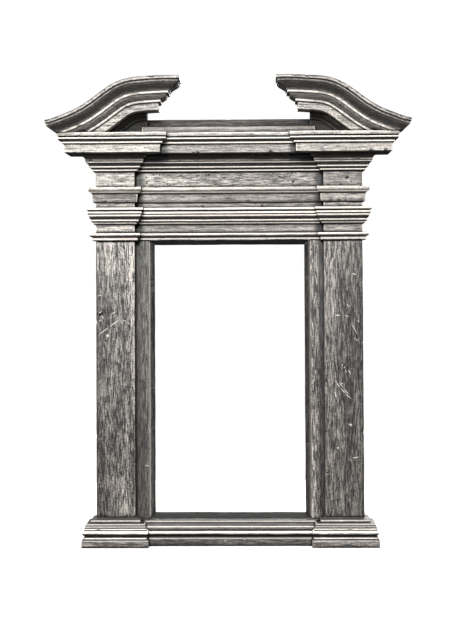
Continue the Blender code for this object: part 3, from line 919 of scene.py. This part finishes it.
def bore(piece, name, spots):
    """Sinks worm holes, each (x, z, radius) in millimetres, into the front face at those spots."""
    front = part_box(name)[0].y
    forwards = Matrix.Rotation(math.radians(90.0), 4, "X")
    cutters = bmesh.new()
    for x, z, radius in spots:
        place = Matrix.Translation(Vector((x * MM, front, z * MM))) @ forwards
        bmesh.ops.create_cone(
            cutters,
            cap_ends=True,
            segments=8,
            radius1=radius * MM,
            radius2=radius * MM,
            depth=HOLE_DEEP * MM,
            matrix=place,
        )
    data = bpy.data.meshes.new(f"holes_{name}")
    cutters.to_mesh(data)
    cutters.free()
    rods = bpy.data.objects.new(data.name, data)
    scene.collection.objects.link(rods)
    apply_modifier(piece, "BOOLEAN", "holes", operation="DIFFERENCE", solver="EXACT", object=rods)
    bpy.data.objects.remove(rods, do_unlink=True)


# %% [markdown]
# Knocks come where an arris sticks out. Their places are drawn from seeded chance on the sharp
# front edges of a piece, so every run gives the same.

# %% Where the knocks are
def spelled(spot):
    """A place as whole hundredths of a millimetre, to sort by."""
    return tuple(round(part / MM * 100.0) for part in spot)


def front_edges(mesh):
    """The sharp outward edges that face the front, in an order that only their places decide."""
    found = []
    for edge in mesh.edges:
        if len(edge.link_faces) != 2 or not edge.is_convex or edge.calc_face_angle() < 0.6:
            continue
        normals = [face.normal for face in edge.link_faces]
        if min(normal.y for normal in normals) < -0.2 and edge.calc_length() > 0.004:
            found.append(edge)
    return sorted(found, key=lambda edge: sorted(spelled(vert.co) for vert in edge.verts))


def knock_spots(piece, name, count, size):
    """Middle, direction inwards, reach along the edge and depth of each knock."""
    chance = random.Random(f"knocks {name}")
    mesh = bmesh.new()
    mesh.from_mesh(piece.data)
    edges = front_edges(mesh)
    lengths = [edge.calc_length() for edge in edges]
    spots = []
    for _ in range(count if edges else 0):
        edge = chance.choices(edges, lengths)[0]
        start, end = sorted((vert.co.copy() for vert in edge.verts), key=spelled)
        middle = start.lerp(end, chance.uniform(0.04, 0.96))
        inwards = -(edge.link_faces[0].normal + edge.link_faces[1].normal).normalized()
        along = (end - start).normalized()
        depth = size * MM * chance.uniform(0.4, 1.2)
        spots.append((middle, inwards, along, depth * chance.uniform(1.5, 4.0), depth))
    mesh.free()
    return spots


# %% [markdown]
# Worm holes lie in flocks. The large ones on the frieze are listed one by one, and small ones are
# strewn round them.

# %% Where the worm holes are
HOLES = {
    "frieze_centre": [
        (-38.3, 703.5, 1.5), (-104.7, 685.7, 1.4), (-132.6, 704.0, 1.2), (-124.4, 688.6, 1.1),
        (-144.5, 703.8, 1.2), (85.0, 704.8, 1.1), (120.8, 705.5, 1.3), (95.0, 699.0, 0.9),
    ],
    "frieze_left": [(-228.0, 698.0, 1.0), (-205.0, 690.0, 0.8), (-212.0, 702.0, 0.8)],
    "frieze_right": [(224.0, 694.0, 0.9), (233.0, 688.0, 1.0)],
    "pilaster_right": [(215.5, 337.8, 1.2), (182.9, 136.3, 1.2)],
    "pilaster_left": [(-246.5, 435.0, 1.1), (-236.0, 387.0, 1.0)],
    "stile_right": [(156.6, 560.0, 1.2)],
}
STREWN = {"frieze_centre": (26, -170.0, 150.0, 683.0, 706.0)}
for name, (count, left, right, low_z, high_z) in STREWN.items():
    chance = random.Random(f"worms {name}")
    for _ in range(count):
        across, up = chance.uniform(left, right), chance.uniform(low_z, high_z)
        near = any(math.hypot(across - x, up - z) < 3.5 for x, z, _ in HOLES[name])
        if not near:
            HOLES[name].append((across, up, chance.uniform(0.5, 0.85)))
print("worm holes:", sum(len(spots) for spots in HOLES.values()))

# %% [markdown]
# Last, the piece is cut across its length into short runs, and a slow noise moves its skin by a
# fraction of a millimetre, so that the long lines waver as old wood does.

# %% Wavering lines, and all the pieces
RUN = 0.007             # metres between two cuts
WAVER = 0.0004          # how far the skin moves
FLAT = 0.0005           # what is this near to the floor or the back stays flat
noise.seed_set(7)
KNOCKS = {
    "base": (16, 1.6), "pilaster": (14, 1.5), "astragal": (7, 1.1), "capital": (8, 1.0),
    "architrave": (12, 1.2), "frieze": (4, 1.0), "cornice": (16, 1.3),
    "raking_cornice": (20, 1.4), "raking_bed": (3, 1.0), "sight": (6, 1.1), "attic": (6, 1.2),
    "stile": (5, 1.2), "back_board": (4, 1.2),
}


def slice_at(mesh, axis, place):
    middle, across = Vector((0.0, 0.0, 0.0)), Vector((0.0, 0.0, 0.0))
    middle[axis], across[axis] = place, 1.0
    geometry = [*mesh.verts, *mesh.edges, *mesh.faces]
    bmesh.ops.bisect_plane(mesh, geom=geometry, plane_co=middle, plane_no=across, dist=1e-6)


def age(piece, name, knocks):
    """Cuts a piece into short runs, dents its edges and lets its skin waver."""
    low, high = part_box(name)
    mesh = bmesh.new()
    mesh.from_mesh(piece.data)
    for axis in (0, 2):
        size = high[axis] - low[axis]
        if size < 3.0 * RUN:
            continue
        cuts = int(size / RUN)
        places = [low[axis] + size * k / cuts for k in range(1, cuts)]
        for middle, _, along, long, _ in knocks:
            if abs(along[axis]) > 0.7:
                places += [middle[axis] + long * share for share in (-1.0, -0.4, 0.2, 1.0)]
        for place in places:
            if low[axis] + FLAT < place < high[axis] - FLAT:
                slice_at(mesh, axis, place)
    for vert in mesh.verts:
        if vert.co.z < FLAT or vert.co.y > BACK_Y - FLAT:
            continue
        for middle, inwards, along, long, depth in knocks:
            away = vert.co - middle
            length = away.dot(along)
            off = (away - along * length).length
            spent = (length / long) ** 2 + (off / (1.3 * depth)) ** 2
            if spent < 1.0:
                rough = 0.75 + 0.8 * noise.noise(vert.co * 900.0)
                vert.co += inwards * depth * (1.0 - spent) * rough
        sway = noise.noise_vector(vert.co * 22.0) + noise.noise_vector(vert.co * 70.0) * 0.5
        vert.co += sway * WAVER
    mesh.to_mesh(piece.data)
    mesh.free()


def worn_copy(name):
    count, size = next((KNOCKS[key] for key in KNOCKS if name.startswith(key)), (0, 0.0))
    piece = merged_copy(name)
    knocks = knock_spots(piece, name, count, size)
    round_edges(piece, name)
    if name in HOLES:
        bore(piece, name, HOLES[name])
    age(piece, name, knocks)
    piece.data.materials.clear()
    slot, finish = finish_of(name)
    piece.data.materials.append(finish)
    only(piece)
    bpy.ops.object.shade_smooth_by_angle(angle=math.radians(30.0))
    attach(piece, "root")
    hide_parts(name)
    return piece


for name in sorted(NODES):
    made = worn_copy(name)
    print(made.name, len(made.data.polygons), "faces")
